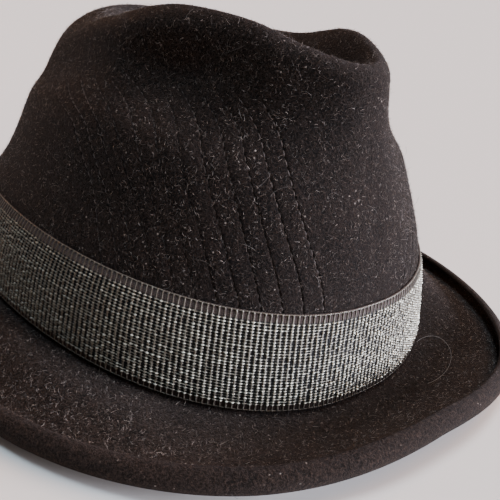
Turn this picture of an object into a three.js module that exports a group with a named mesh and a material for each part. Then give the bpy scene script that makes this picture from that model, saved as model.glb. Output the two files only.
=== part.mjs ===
import * as THREE from 'three';

// A narrow-brimmed felt hat: one blocked piece of felt that is crown and brim,
// and a wide woven ribbon around the crown's foot.
// Millimetres. +X is the hat's front, +Y the wearer's left, +Z up. It rests on z = 0.

// Felt
const WALL = 2.0;
const REST_SINK = 0.8;

// Oval of the crown's foot, outside
const HALF_LENGTH = 99;
const HALF_WIDTH = 85;
const FOOT_SQUARENESS = 2.07;
const NOSE_ROUNDING = 0.04;
const FRONT_FROM = -0.6;
const FRONT_TO = 0.8;

// The crease between crown and brim is low at front and back and high at the sides
const BREAK_RISE = 13.8;
const BREAK_FILLET = 2.0;

// Crown
const CROWN_HEIGHT = 108;
const RIDGE_LEAN = 3.0;
const LEAN_CENTRE = 75;
const LEAN_SPREAD = 75;

// Sections up the crown's wall. step is the place on the wall, 0 at its foot and 1 on the
// ridge; rise is a share of the height there, front, back and side are shares of the foot's
// oval, and squareness is the front half's exponent (2 is an ellipse, less is pointed).
const SECTIONS = [
  { step: 0.00, rise: 0.000, front: 1.000, back: 1.000, side: 1.000, squareness: 2.07 },
  { step: 0.18, rise: 0.200, front: 0.980, back: 0.962, side: 0.955, squareness: 2.02 },
  { step: 0.36, rise: 0.400, front: 0.960, back: 0.890, side: 0.832, squareness: 1.95 },
  { step: 0.50, rise: 0.550, front: 0.926, back: 0.838, side: 0.735, squareness: 1.85 },
  { step: 0.63, rise: 0.700, front: 0.873, back: 0.810, side: 0.678, squareness: 1.75 },
  { step: 0.74, rise: 0.820, front: 0.837, back: 0.775, side: 0.624, squareness: 1.65 },
  { step: 0.83, rise: 0.910, front: 0.830, back: 0.715, side: 0.552, squareness: 1.55 },
  { step: 0.90, rise: 0.965, front: 0.828, back: 0.640, side: 0.488, squareness: 1.48 },
  { step: 0.95, rise: 0.990, front: 0.808, back: 0.582, side: 0.442, squareness: 1.45 },
  { step: 1.00, rise: 1.000, front: 0.780, back: 0.525, side: 0.401, squareness: 1.45 },
];

// Height of the ridge round the top, as shares of CROWN_HEIGHT. angle is 0 at the front.
const RIDGE = [
  { angle: 0, height: 0.947 },
  { angle: 30, height: 1.006 },
  { angle: 65, height: 1.000 },
  { angle: 105, height: 0.957 },
  { angle: 145, height: 0.930 },
  { angle: 180, height: 0.950 },
];

// Hollow that runs along each side under the ridge and deepens into the front pinch
const HOLLOW_RISE = 0.82;
const HOLLOW_SPREAD = 0.20;
const HOLLOW_DEPTH = 3.9;
const HOLLOW_START = 30;
const HOLLOW_END = 170;
const HOLLOW_FADE = 60;
const PINCH_DEPTH = 8.9;
const PINCH_ANGLE = 40;
const PINCH_SPREAD = 38;
const LENGTHWISE_PULL = 0.6;

// Drop-shaped dent in the top, with a crease along the middle
const CREASE_FRONT = 54;
const CREASE_BACK = 38;
const DENT_DEPTH = 24;
const DENT_FRONT_SHARE = 0.75;
const DENT_BACK_SHARE = 0.55;
const DENT_STEEPNESS = 1.1;

// Brim: reach is from the crown's foot to the middle of the rolled edge, lift is how high the
// roll's underside stands over the table; the rows hold shares of both. angle is as above.
const BRIM_REACH = 30;
const BRIM_LIFT = 8;
const BRIM_FLAT = 0.25;
const BRIM = [
  { angle: 0, reach: 1.00, lift: 1.00 },
  { angle: 27, reach: 1.05, lift: 0.48 },
  { angle: 56, reach: 0.96, lift: 0.20 },
  { angle: 90, reach: 0.76, lift: 0.25 },
  { angle: 124, reach: 0.80, lift: 0.55 },
  { angle: 153, reach: 0.90, lift: 0.80 },
  { angle: 180, reach: 1.00, lift: 0.90 },
];
const ROLL_RADIUS = 3.9;
const ROLL_TURN = 185;

// Ribbon band
const BAND_WIDTH = 33.5;
const BAND_SIDE_DROP = 4.5;
const BAND_THICKNESS = 1.0;
const BAND_FOOT = 1.7;
const CLEARANCE = 0.3;

// Mesh density
const COLUMNS = 80;
const TOP_ROWS = 6;
const SIDE_ROWS = 16;
const FILLET_ROWS = 2;
const BRIM_ROWS = 8;
const ROLL_ROWS = 6;
const EDGE_ROWS = 2;
const BAND_ROWS = 3;
const PROBE = 0.01;

const DEGREE = Math.PI / 180;

function smoothStep(x) {
  const t = Math.min(Math.max(x, 0), 1);
  return t * t * (3 - 2 * t);
}

function bump(x) {
  const t = Math.min(Math.abs(x), 1);
  return (1 - t * t) ** 2;
}

// Column of a table at a place between its rows, on a smooth curve through every row.
function tableValue(rows, key, column, at, flatStart = false, flatEnd = false) {
  const last = rows.length - 1;
  const gap = (i) => rows[i + 1][key] - rows[i][key];
  const chord = (i) => (rows[i + 1][column] - rows[i][column]) / gap(i);
  const slope = (i) => {
    if (i === 0) return flatStart ? 0 : chord(0);
    if (i === last) return flatEnd ? 0 : chord(last - 1);
    return (chord(i - 1) * gap(i) + chord(i) * gap(i - 1)) / (gap(i - 1) + gap(i));
  };
  let i = 0;
  while (i < last - 1 && at > rows[i + 1][key]) i += 1;
  const u = (at - rows[i][key]) / gap(i);
  const start = (1 + 2 * u) * (1 - u) ** 2 * rows[i][column];
  const end = u * u * (3 - 2 * u) * rows[i + 1][column];
  const bend = u * (1 - u) ** 2 * slope(i) - u * u * (1 - u) * slope(i + 1);
  return start + end + bend * gap(i);
}

const roundTable = (rows, column, angle) => tableValue(rows, 'angle', column, angle, true, true);

// Degrees from the front, 0 to 180, the same on both sides of the hat.
function fromFront(turn) {
  return Math.abs(Math.atan2(Math.sin(turn), Math.cos(turn))) / DEGREE;
}

// Size of a sine with its turn at zero rounded off, so that a pointed section keeps a round nose.
function rounded(sin) {
  const size = (value) => Math.hypot(value, NOSE_ROUNDING) - NOSE_ROUNDING;
  return size(sin) / size(1);
}

// Height of the crease between crown and brim, on the felt's upper face.
function breakHeight(turn) {
  return WALL - REST_SINK + BREAK_RISE * Math.sin(turn) ** 2;
}

// How far the hollow under the ridge and the front pinch push the wall in.
function hollowDepth(turn, rise) {
  const angle = fromFront(turn);
  const along = smoothStep((HOLLOW_END - angle) / HOLLOW_FADE) * smoothStep(angle / HOLLOW_START);
  const pinch = bump((angle - PINCH_ANGLE) / PINCH_SPREAD);
  return (HOLLOW_DEPTH * along + PINCH_DEPTH * pinch) * bump((rise - HOLLOW_RISE) / HOLLOW_SPREAD);
}

// Point on the crown's wall. step is 0 at the foot and 1 on the ridge.
function wallPoint(turn, step) {
  const row = (column, flatEnd = false) => tableValue(SECTIONS, 'step', column, step, false, flatEnd);
  const front = row('front') * HALF_LENGTH;
  const back = row('back') * HALF_LENGTH;
  const side = row('side') * HALF_WIDTH;
  const rise = row('rise', true);
  const cos = Math.cos(turn);
  const sin = Math.sin(turn);
  const frontShare = smoothStep((cos - FRONT_FROM) / (FRONT_TO - FRONT_FROM));
  const squareness = FOOT_SQUARENESS + (row('squareness') - FOOT_SQUARENESS) * frontShare;
  const shift = (front - back) / 2;
  const half = (front + back) / 2;
  const ovalSum = (Math.abs(cos) / half) ** squareness + (rounded(sin) / side) ** squareness;
  const reach = ovalSum ** (-1 / squareness);
  const depth = hollowDepth(turn, rise);
  const x = (reach - depth * LENGTHWISE_PULL) * cos + shift;
  const y = (reach - depth) * sin;
  const foot = breakHeight(turn) + BREAK_FILLET;
  const lean = RIDGE_LEAN * sin * bump((fromFront(turn) - LEAN_CENTRE) / LEAN_SPREAD);
  const ridge = WALL + CROWN_HEIGHT * roundTable(RIDGE, 'height', fromFront(turn));
  return { x, y, z: foot + (ridge - lean - foot) * rise, lean };
}

// Point on the crown's top. share is 0 on the crease along the middle and 1 on the ridge.
function topPoint(turn, share) {
  const { x, y, z, lean } = wallPoint(turn, 1);
  const t = 1 - share;
  const creaseX = (CREASE_FRONT - CREASE_BACK) / 2 + (CREASE_FRONT + CREASE_BACK) / 2 * Math.cos(turn);
  const frontCut = (1 - DENT_FRONT_SHARE) * smoothStep(Math.cos(turn));
  const backCut = (1 - DENT_BACK_SHARE) * smoothStep(-Math.cos(turn));
  const depth = DENT_DEPTH * (1 - frontCut - backCut);
  const height = z + lean * smoothStep(t) - depth * smoothStep(DENT_STEEPNESS * t);
  return new THREE.Vector3(x + (creaseX - x) * t, y * (1 - t), height);
}

// Outward level direction at the crown's foot.
function outward(turn) {
  const before = wallPoint(turn - PROBE, 0);
  const after = wallPoint(turn + PROBE, 0);
  return new THREE.Vector3(after.y - before.y, before.x - after.x, 0).normalize();
}

// Point of the brim's upper face from its distance to the crown's foot and its height.
function brimPoint(turn, distance, height) {
  const foot = wallPoint(turn, 0);
  return new THREE.Vector3(foot.x, foot.y, height).addScaledVector(outward(turn), distance);
}

function filletPoint(turn, share) {
  const angle = Math.PI + share * Math.PI / 2;
  const centre = breakHeight(turn) + BREAK_FILLET;
  return brimPoint(turn, BREAK_FILLET * (1 + Math.cos(angle)), centre + BREAK_FILLET * Math.sin(angle));
}

function rollCentre(turn) {
  const angle = fromFront(turn);
  return {
    distance: BRIM_REACH * roundTable(BRIM, 'reach', angle),
    height: BRIM_LIFT * roundTable(BRIM, 'lift', angle) + ROLL_RADIUS,
  };
}

function flatPoint(turn, share) {
  const centre = rollCentre(turn);
  const start = breakHeight(turn);
  const end = centre.height - ROLL_RADIUS + WALL;
  const lift = smoothStep((share - BRIM_FLAT) / (1 - BRIM_FLAT));
  const distance = BREAK_FILLET + (centre.distance - BREAK_FILLET) * share;
  return brimPoint(turn, distance, start + (end - start) * lift);
}

function rollPoint(turn, share) {
  const centre = rollCentre(turn);
  const radius = ROLL_RADIUS - WALL;
  const angle = (ROLL_TURN * share - 90) * DEGREE;
  const distance = centre.distance + radius * Math.cos(angle);
  return brimPoint(turn, distance, centre.height + radius * Math.sin(angle));
}

// The felt's upper face in one run: each stretch takes 1 from the middle of the top to the edge.
const STRETCHES = [
  { point: topPoint, rows: TOP_ROWS },
  { point: (turn, share) => new THREE.Vector3().copy(wallPoint(turn, 1 - share)), rows: SIDE_ROWS },
  { point: filletPoint, rows: FILLET_ROWS },
  { point: flatPoint, rows: BRIM_ROWS },
  { point: rollPoint, rows: ROLL_ROWS },
];

function upperPoint(turn, run) {
  const i = Math.min(Math.floor(run), STRETCHES.length - 1);
  return STRETCHES[i].point(turn, run - i);
}

function upperNormal(turn, run) {
  if (run === 0) return new THREE.Vector3(0, 0, 1);
  const end = STRETCHES.length;
  const along = upperPoint(turn, Math.min(run + PROBE, end)).sub(upperPoint(turn, run - PROBE));
  const around = upperPoint(turn + PROBE, run).sub(upperPoint(turn - PROBE, run));
  return along.cross(around).normalize();
}

// The felt's lower face, flattened where the felt lies on the table.
function lowerPoint(turn, run) {
  const point = upperPoint(turn, run).addScaledVector(upperNormal(turn, run), -WALL);
  point.z = Math.max(point.z, 0);
  return point;
}

// Rows across the felt: upper face outwards, round the cut edge, lower face back in.
function feltRows() {
  const runs = [0];
  STRETCHES.forEach((stretch, i) => {
    for (let row = 1; row <= stretch.rows; row += 1) runs.push(i + row / stretch.rows);
  });
  const edge = STRETCHES.length;
  const rows = runs.map((run) => (turn) => upperPoint(turn, run));
  for (let row = 1; row <= EDGE_ROWS; row += 1) {
    const angle = Math.PI * row / (EDGE_ROWS + 1);
    rows.push((turn) => {
      const middle = upperPoint(turn, edge).addScaledVector(upperNormal(turn, edge), -WALL / 2);
      const forward = upperPoint(turn, edge).sub(upperPoint(turn, edge - PROBE)).normalize();
      middle.addScaledVector(upperNormal(turn, edge), WALL / 2 * Math.cos(angle));
      return middle.addScaledVector(forward, WALL / 2 * Math.sin(angle));
    });
  }
  const inner = runs.filter((run, i) => i % 2 === 0 || run > edge - 1);
  inner.reverse().forEach((run) => rows.push((turn) => lowerPoint(turn, run)));
  return rows;
}

// Closed body from rows of points round the hat. An open run starts and ends on the crease in
// the top, where the two sides of the hat share their points; a ring joins its last row to its first.
function bodyFromRows(rows, ring) {
  const positions = [];
  const indices = [];
  const grid = rows.map((row, i) => {
    const onCrease = !ring && (i === 0 || i === rows.length - 1);
    const line = [];
    for (let column = 0; column < COLUMNS; column += 1) {
      if (onCrease && column > COLUMNS / 2) {
        line.push(line[COLUMNS - column]);
      } else {
        line.push(positions.length / 3);
        positions.push(...row(2 * Math.PI * column / COLUMNS).toArray());
      }
    }
    return line;
  });
  const addTriangle = (a, b, c) => {
    if (a !== b && b !== c && c !== a) indices.push(a, b, c);
  };
  const strips = ring ? rows.length : rows.length - 1;
  for (let i = 0; i < strips; i += 1) {
    const near = grid[i];
    const far = grid[(i + 1) % rows.length];
    for (let column = 0; column < COLUMNS; column += 1) {
      const next = (column + 1) % COLUMNS;
      addTriangle(near[column], far[column], near[next]);
      addTriangle(far[column], far[next], near[next]);
    }
  }
  const geometry = new THREE.BufferGeometry();
  geometry.setAttribute('position', new THREE.Float32BufferAttribute(positions, 3));
  geometry.setIndex(indices);
  geometry.computeVertexNormals();
  return geometry;
}

// The ribbon's faces follow the crown's wall. share is 0 at its foot and 1 at its top edge.
function bandPoint(turn, share, offset) {
  const width = BAND_WIDTH - BAND_SIDE_DROP * Math.sin(turn) ** 2;
  const height = BAND_FOOT - BREAK_FILLET + (width - BAND_FOOT) * share;
  const lowest = wallPoint(turn, 0).z;
  const span = wallPoint(turn, 1).z - lowest;
  const step = Math.max(height, 0) / span * SECTIONS[1].step / SECTIONS[1].rise;
  const point = upperPoint(turn, 2 - step).addScaledVector(upperNormal(turn, 2 - step), offset);
  point.z += Math.min(height, 0);
  return point;
}

function bandRows() {
  const rows = [];
  for (let i = 0; i <= BAND_ROWS; i += 1) {
    rows.push((turn) => bandPoint(turn, 1 - i / BAND_ROWS, CLEARANCE + BAND_THICKNESS));
  }
  for (let i = 0; i <= BAND_ROWS; i += 1) {
    rows.push((turn) => bandPoint(turn, i / BAND_ROWS, CLEARANCE));
  }
  return rows;
}

function feltBody() {
  const felt = new THREE.MeshStandardMaterial({ color: 0x2f2a2b, roughness: 0.95, metalness: 0 });
  const mesh = new THREE.Mesh(bodyFromRows(feltRows(), false), felt);
  mesh.name = 'felt_body';
  return mesh;
}

function ribbonBand() {
  const ribbon = new THREE.MeshStandardMaterial({ color: 0x8c877f, roughness: 0.5, metalness: 0.35 });
  const mesh = new THREE.Mesh(bodyFromRows(bandRows(), true), ribbon);
  mesh.name = 'ribbon_band';
  return mesh;
}

const hat = new THREE.Group();
hat.add(feltBody(), ribbonBand());

export default hat;
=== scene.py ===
import math

import bpy
import numpy as np
from bpy.props import FloatProperty, FloatVectorProperty, IntProperty, PointerProperty
from mathutils import Matrix, Vector


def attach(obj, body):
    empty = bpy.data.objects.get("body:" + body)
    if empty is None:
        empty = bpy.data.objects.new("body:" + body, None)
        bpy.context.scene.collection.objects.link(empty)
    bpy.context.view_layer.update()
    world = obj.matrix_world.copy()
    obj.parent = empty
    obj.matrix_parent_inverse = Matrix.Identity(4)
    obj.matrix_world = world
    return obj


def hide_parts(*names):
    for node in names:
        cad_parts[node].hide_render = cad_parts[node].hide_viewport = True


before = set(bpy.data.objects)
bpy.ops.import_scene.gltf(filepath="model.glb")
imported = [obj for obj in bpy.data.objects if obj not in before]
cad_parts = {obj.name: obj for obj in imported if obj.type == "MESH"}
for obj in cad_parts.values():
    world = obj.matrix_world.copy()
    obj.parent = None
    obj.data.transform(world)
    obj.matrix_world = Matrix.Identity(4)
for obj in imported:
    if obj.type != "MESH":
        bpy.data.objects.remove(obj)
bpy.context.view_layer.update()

bl_info = {
    "name": "Felt hat with a ribbon band",
    "version": (1, 0, 0),
    "blender": (4, 5, 0),
    "location": "3D View > Sidebar > Hat",
    "description": "Builds the felt, its stitch rows and nap, the woven ribbon and a plain studio",
    "category": "Object",
}

# The shape functions work in millimetres, and a mesh gets metres.
MM = 0.001
# Step in turn and in run with which slopes are measured.
PROBE = 0.01
SEED = 58

# Sections up the crown's wall: step (0 at the foot, 1 on the ridge), rise as a share of the
# height there, front, back and side as shares of the foot's oval, and the front's squareness.
SECTIONS = np.array([
    (0.00, 0.000, 1.000, 1.000, 1.000, 2.07),
    (0.18, 0.200, 0.980, 0.962, 0.955, 2.02),
    (0.36, 0.400, 0.960, 0.890, 0.832, 1.95),
    (0.50, 0.550, 0.926, 0.838, 0.735, 1.85),
    (0.63, 0.700, 0.873, 0.810, 0.678, 1.75),
    (0.74, 0.820, 0.837, 0.775, 0.624, 1.65),
    (0.83, 0.910, 0.830, 0.715, 0.552, 1.55),
    (0.90, 0.965, 0.828, 0.640, 0.488, 1.48),
    (0.95, 0.990, 0.808, 0.582, 0.442, 1.45),
    (1.00, 1.000, 0.780, 0.525, 0.401, 1.45),
])
RISE, FRONT, BACK, SIDE, SQUARENESS = 1, 2, 3, 4, 5

# Height of the ridge round the top: degrees from the front, share of the crown's height.
RIDGE = np.array([
    (0, 0.947), (30, 1.006), (65, 1.000), (105, 0.957), (145, 0.930), (180, 0.950),
])

# The ribbon's plain edges, below and above its weave, and the step of its cross threads.
EDGE_LOW, EDGE_HIGH, CROSS_THREAD = 2.0, 2.9, 0.55

# The brim: degrees from the front, share of its reach, share of its lift.
BRIM = np.array([
    (0, 1.00, 1.00), (27, 1.05, 0.48), (56, 0.96, 0.20), (90, 0.76, 0.25),
    (124, 0.80, 0.55), (153, 0.90, 0.80), (180, 1.00, 0.90),
])
REACH, LIFT = 1, 2


# Sizes and colours

def length(name, description, default):
    return FloatProperty(name=name, description=description, default=default, min=0.0,
                         unit="LENGTH", precision=4)


def colour(name, description, default):
    return FloatVectorProperty(name=name, description=description, default=default,
                               subtype="COLOR", size=3, min=0.0, max=1.0)


class HatSizes(bpy.types.PropertyGroup):
    """Sizes of the hat that a user would change."""
    half_length: length("Half length", "Crown's foot, middle to front", 0.099)
    half_width: length("Half width", "Crown's foot, middle to side", 0.085)
    crown_height: length("Crown height", "Foot to ridge", 0.108)
    wall: length("Felt", "Thickness of the felt", 0.002)
    brim_reach: length("Brim reach", "Crown's foot to the middle of the rolled edge", 0.030)
    brim_lift: length("Brim lift", "Height of the roll over the table", 0.008)
    roll_radius: length("Roll radius", "Outer radius of the rolled edge", 0.0039)
    dent_depth: length("Dent depth", "Ridge to the crease in the top", 0.024)
    band_width: length("Ribbon width", "Width of the ribbon", 0.0335)
    stitch_spacing: length("Row spacing", "Between two rows of stitches", 0.0068)
    stitch_length: length("Stitch length", "From one stitch to the next", 0.0030)
    stitch_rows: IntProperty(name="Stitch rows", description="Rows on each side", default=12,
                             min=1, max=20)
    rib_count: IntProperty(name="Ribs", description="Ribs round the ribbon", default=330,
                           min=60, max=600)
    weave_rows: IntProperty(name="Weave rows", description="Rows across the ribbon", default=29,
                            min=4, max=60)
    short_fibres: IntProperty(name="Short fibres", description="Straight fibres in a nap piece",
                              default=42000, min=0, max=49000)
    curled_fibres: IntProperty(name="Curled fibres", description="Bent fibres in the nap",
                               default=10500, min=0, max=19000)


class HatColours(bpy.types.PropertyGroup):
    """Colours of the hat that a user would change."""
    felt: colour("Felt", "Ground of the felt", (0.0016, 0.0010, 0.0008))
    # Paler felt: the light end of the grain, and on the brim and rolled edge also painted light.
    felt_pale: colour("Felt, worn", "Lighter, rubbed felt", (0.0320, 0.0198, 0.0143))
    nap: colour("Nap", "Fibres of the nap", (0.046, 0.030, 0.022))
    nap_pale: colour("Pale nap", "Lightest fibres of the nap", (0.36, 0.30, 0.255))
    lint: colour("Lint", "Stray hairs and lint", (0.26, 0.24, 0.22))
    thread: colour("Thread", "Thread of the stitch rows", (0.070, 0.058, 0.053))
    yarn: colour("Yarn", "Silvery yarn of the ribbon", (0.50, 0.475, 0.38))
    # Dark end of the yarn: dull yarn, and the painted shade on the ribbon's sides.
    yarn_dull_and_shaded: colour("Yarn, dull", "Yarn that has tarnished", (0.040, 0.028, 0.018))
    ground: colour("Ribbon ground", "Dark ground of the ribbon", (0.0026, 0.0026, 0.0027))
    selvedge: colour("Selvedge", "Plain edges of the ribbon", (0.0300, 0.0205, 0.0170))
    floor: colour("Floor", "Floor of the studio", (0.53, 0.485, 0.44))


# The hat's form

def smooth_step(x):
    """0 below 0, 1 above 1, and three squares less two cubes between."""
    t = np.clip(x, 0, 1)
    return t * t * (3 - 2 * t)


def bump(x):
    """1 at 0, falling to 0 at 1 on either side, as the square of one less a square."""
    t = np.minimum(np.abs(x), 1)
    return (1 - t * t) ** 2


def table_value(rows, column, at, flat_start=False, flat_end=False):
    """Column of a table between its rows, on a cubic curve whose slope at a row is the
    mean of the two chords beside it, each weighted with the other's length."""
    key, value = rows[:, 0], rows[:, column]
    gap = np.diff(key)
    chord = np.diff(value) / gap
    slope = np.empty(len(key))
    slope[1:-1] = (chord[:-1] * gap[1:] + chord[1:] * gap[:-1]) / (gap[:-1] + gap[1:])
    slope[0] = 0 if flat_start else chord[0]
    slope[-1] = 0 if flat_end else chord[-1]
    i = np.clip(np.searchsorted(key, at, side="left") - 1, 0, len(key) - 2)
    u = (at - key[i]) / gap[i]
    ends = (1 + 2 * u) * (1 - u) ** 2 * value[i] + u * u * (3 - 2 * u) * value[i + 1]
    return ends + (u * (1 - u) ** 2 * slope[i] - u * u * (1 - u) * slope[i + 1]) * gap[i]


def from_front(turn):
    """Degrees from the front, 0 to 180, the same on both sides."""
    return np.degrees(np.abs(np.arctan2(np.sin(turn), np.cos(turn))))


def unit(vectors):
    return vectors / np.maximum(np.linalg.norm(vectors, axis=-1, keepdims=True), 1e-12)


class HatForm:
    """The felt's upper face as a function of turn (round the hat, 0 at the front) and run
    (0 on the crease, 1 on the ridge, 2 at the crown's foot, 3 past the fillet, 4 at the
    roll, 5 on the cut edge), in millimetres."""

    rest_sink = 0.8
    foot_squareness = 2.07
    nose_rounding = 0.04
    front_from, front_to = -0.6, 0.8
    break_rise, break_fillet = 13.8, 2.0
    ridge_lean, lean_centre, lean_spread = 3.0, 75.0, 75.0
    hollow_rise, hollow_spread, hollow_depth = 0.80, 0.15, 6.0
    hollow_start, hollow_end, hollow_fade = 20.0, 170.0, 60.0
    shelf_rise, shelf_spread, shelf_height = 0.58, 0.17, 2.8
    pinch_rise, pinch_height = 0.82, 0.20
    pinch_depth, pinch_angle, pinch_spread, lengthwise_pull = 8.9, 40.0, 38.0, 0.6
    crease_front, crease_back = 54.0, 38.0
    dent_front_share, dent_back_share, dent_steepness = 0.75, 0.55, 1.1
    brim_flat = 0.25
    roll_turn = 185.0
    band_side_drop, band_foot, clearance = 4.5, 1.7, 0.3

    def __init__(self, sizes):
        self.half_length = sizes.half_length / MM
        self.half_width = sizes.half_width / MM
        self.crown_height = sizes.crown_height / MM
        self.wall = sizes.wall / MM
        self.brim_reach = sizes.brim_reach / MM
        self.brim_lift = sizes.brim_lift / MM
        self.roll_radius = sizes.roll_radius / MM
        self.dent_depth = sizes.dent_depth / MM
        self.band_width = sizes.band_width / MM

    def break_height(self, turn):
        """Height of the brim at the crown's foot, which rises to the sides."""
        return self.wall - self.rest_sink + self.break_rise * np.sin(turn) ** 2

    def wall_point(self, turn, step):
        """A superellipse whose size and squareness change up the wall, pushed in by the hollow
        under the ridge and by the front pinch, and swelled a little under the hollow. Also gives
        how far the ridge leans there."""
        front = table_value(SECTIONS, FRONT, step) * self.half_length
        back = table_value(SECTIONS, BACK, step) * self.half_length
        side = table_value(SECTIONS, SIDE, step) * self.half_width
        rise = table_value(SECTIONS, RISE, step, flat_end=True)
        cos, sin = np.cos(turn), np.sin(turn)
        share = smooth_step((cos - self.front_from) / (self.front_to - self.front_from))
        power = table_value(SECTIONS, SQUARENESS, step) - self.foot_squareness
        power = self.foot_squareness + power * share
        nose = np.hypot(sin, self.nose_rounding) - self.nose_rounding
        nose = nose / (math.hypot(1, self.nose_rounding) - self.nose_rounding)
        half = (front + back) / 2
        reach = ((np.abs(cos) / half) ** power + (nose / side) ** power) ** (-1 / power)
        angle = from_front(turn)
        along = smooth_step((self.hollow_end - angle) / self.hollow_fade)
        along = along * smooth_step((angle - self.hollow_start) / (2 * self.hollow_start))
        hollow = self.hollow_depth * bump((rise - self.hollow_rise) / self.hollow_spread)
        shelf = self.shelf_height * bump((rise - self.shelf_rise) / self.shelf_spread)
        pinch = self.pinch_depth * bump((angle - self.pinch_angle) / self.pinch_spread)
        pinch = pinch * bump((rise - self.pinch_rise) / self.pinch_height)
        depth = along * (hollow - shelf) + pinch
        x = (reach - depth * self.lengthwise_pull) * cos + (front - back) / 2
        y = (reach - depth) * sin
        foot = self.break_height(turn) + self.break_fillet
        lean = self.ridge_lean * sin * bump((angle - self.lean_centre) / self.lean_spread)
        ridge = self.wall + self.crown_height * table_value(RIDGE, 1, angle, True, True)
        return x, y, foot + (ridge - lean - foot) * rise, lean

    def top_point(self, turn, share):
        """From the crease along the middle (share 0) up to the ridge (share 1): straight in
        plan, and in height a smooth step down by the dent's depth."""
        x, y, z, lean = self.wall_point(turn, np.ones_like(turn))
        t = 1 - share
        crease = (self.crease_front - self.crease_back) / 2
        crease = crease + (self.crease_front + self.crease_back) / 2 * np.cos(turn)
        cut = (1 - self.dent_front_share) * smooth_step(np.cos(turn))
        cut = cut + (1 - self.dent_back_share) * smooth_step(-np.cos(turn))
        depth = self.dent_depth * (1 - cut)
        height = z + lean * smooth_step(t) - depth * smooth_step(self.dent_steepness * t)
        return x + (crease - x) * t, y * (1 - t), height

    def brim_point(self, turn, distance, height):
        """A place so far out from the crown's foot, square to the foot's outline."""
        foot = np.zeros_like(turn)
        before = self.wall_point(turn - PROBE, foot)
        after = self.wall_point(turn + PROBE, foot)
        across, along = after[1] - before[1], before[0] - after[0]
        size = np.hypot(across, along)
        x, y, _, _ = self.wall_point(turn, foot)
        return x + across / size * distance, y + along / size * distance, height

    def fillet_point(self, turn, share):
        """A quarter circle between the wall and the brim."""
        angle = np.pi + share * np.pi / 2
        radius = self.break_fillet
        height = self.break_height(turn) + radius + radius * np.sin(angle)
        return self.brim_point(turn, radius * (1 + np.cos(angle)), height)

    def roll_centre(self, turn):
        """Distance and height of the middle of the rolled edge."""
        angle = from_front(turn)
        distance = self.brim_reach * table_value(BRIM, REACH, angle, True, True)
        height = self.brim_lift * table_value(BRIM, LIFT, angle, True, True)
        return distance, height + self.roll_radius

    def flat_point(self, turn, share):
        """The brim from its fillet to the roll, level at first and then a smooth step in height."""
        distance, height = self.roll_centre(turn)
        start = self.break_height(turn)
        end = height - self.roll_radius + self.wall
        lift = smooth_step((share - self.brim_flat) / (1 - self.brim_flat))
        reach = self.break_fillet + (distance - self.break_fillet) * share
        return self.brim_point(turn, reach, start + (end - start) * lift)

    def roll_point(self, turn, share):
        """The rolled edge, an arc from the bottom of the roll out, up and over."""
        distance, height = self.roll_centre(turn)
        radius = self.roll_radius - self.wall
        angle = np.radians(self.roll_turn * share - 90)
        reach = distance + radius * np.cos(angle)
        return self.brim_point(turn, reach, height + radius * np.sin(angle))

    def point(self, turn, run):
        """Point on the upper face for arrays of turn and run."""
        turn, run = np.broadcast_arrays(np.asarray(turn, float), np.asarray(run, float))
        stretches = [
            self.top_point,
            lambda t, share: self.wall_point(t, 1 - share)[:3],
            self.fillet_point,
            self.flat_point,
            self.roll_point,
        ]
        place = np.clip(np.floor(run).astype(int), 0, len(stretches) - 1)
        points = np.empty(turn.shape + (3,))
        for i, stretch in enumerate(stretches):
            here = place == i
            if here.any():
                points[here] = np.stack(stretch(turn[here], run[here] - i), -1)
        return points

    def normal(self, turn, run):
        """Across of two short steps along the surface; straight up on the crease."""
        turn, run = np.broadcast_arrays(np.asarray(turn, float), np.asarray(run, float))
        along = self.point(turn, np.minimum(run + PROBE, 5)) - self.point(turn, run - PROBE)
        around = self.point(turn + PROBE, run) - self.point(turn - PROBE, run)
        across = unit(np.cross(along, around))
        across[run <= 0] = (0, 0, 1)
        return across

    def band_run(self, turn, share):
        """Run of a place on the ribbon, and how far it hangs below the crown's foot."""
        width = self.band_width - self.band_side_drop * np.sin(turn) ** 2
        height = self.band_foot - self.break_fillet + (width - self.band_foot) * share
        zero = np.zeros_like(turn)
        span = self.wall_point(turn, zero + 1)[2] - self.wall_point(turn, zero)[2]
        step = np.maximum(height, 0) / span * SECTIONS[1, 0] / SECTIONS[1, RISE]
        return 2 - step, np.minimum(height, 0)

    def band_top(self, turn):
        """Run of the ribbon's upper edge."""
        return self.band_run(turn, np.ones_like(turn))[0]

    def band_normal(self, turn, share):
        return self.normal(turn, self.band_run(turn, share)[0])

    def band_point(self, turn, share, offset):
        """A place over the felt on the ribbon, from its lower edge (share 0) to its upper (1)."""
        run, below = self.band_run(turn, share)
        points = self.point(turn, run) + self.normal(turn, run) * np.asarray(offset)[..., None]
        points[..., 2] += below
        return points


# The stitch rows' chart

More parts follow.
